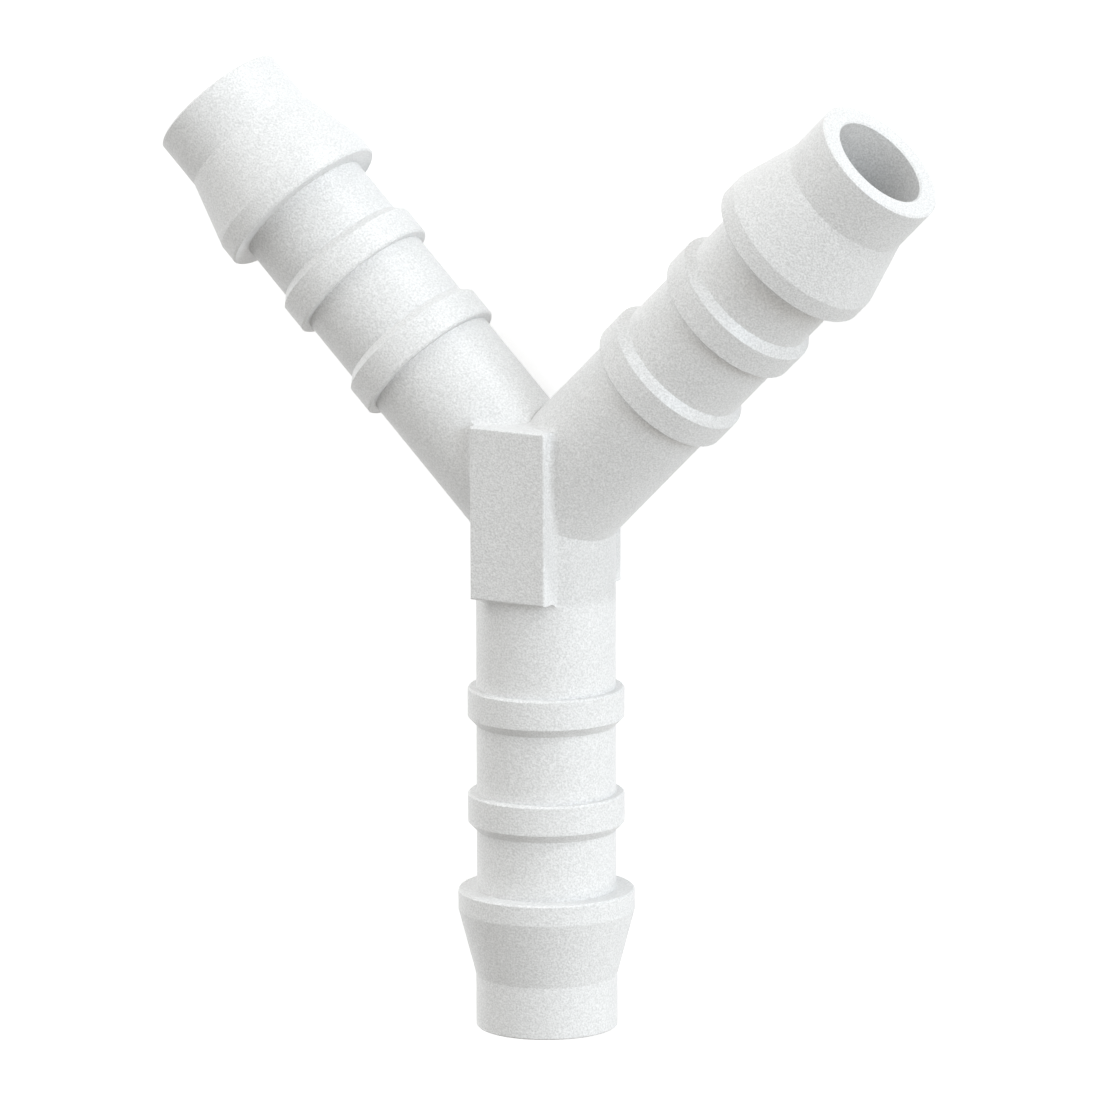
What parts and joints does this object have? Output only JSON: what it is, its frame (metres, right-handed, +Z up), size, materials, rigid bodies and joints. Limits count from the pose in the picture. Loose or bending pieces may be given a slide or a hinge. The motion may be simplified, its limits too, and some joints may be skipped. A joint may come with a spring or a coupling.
{
  "type": "tubing y connector",
  "caption": "Moulded Y connector for soft tubing: equal barbed legs at 45 degrees on a flat-sided hub, with open bores that meet inside.",
  "frame": {"origin": "under the middle of the part's box, on the surface that it lies on", "axes": "+Z up from that surface, square to the plane of the three legs; -Y along the single leg towards its tip, +Y between the pair"},
  "size_m": [0.0488, 0.0548, 0.0101],
  "materials": {
    "white_plastic": "satin"
  },
  "bodies": {
    "root": {"y_connector": "white_plastic"}
  },
  "joints": []
}
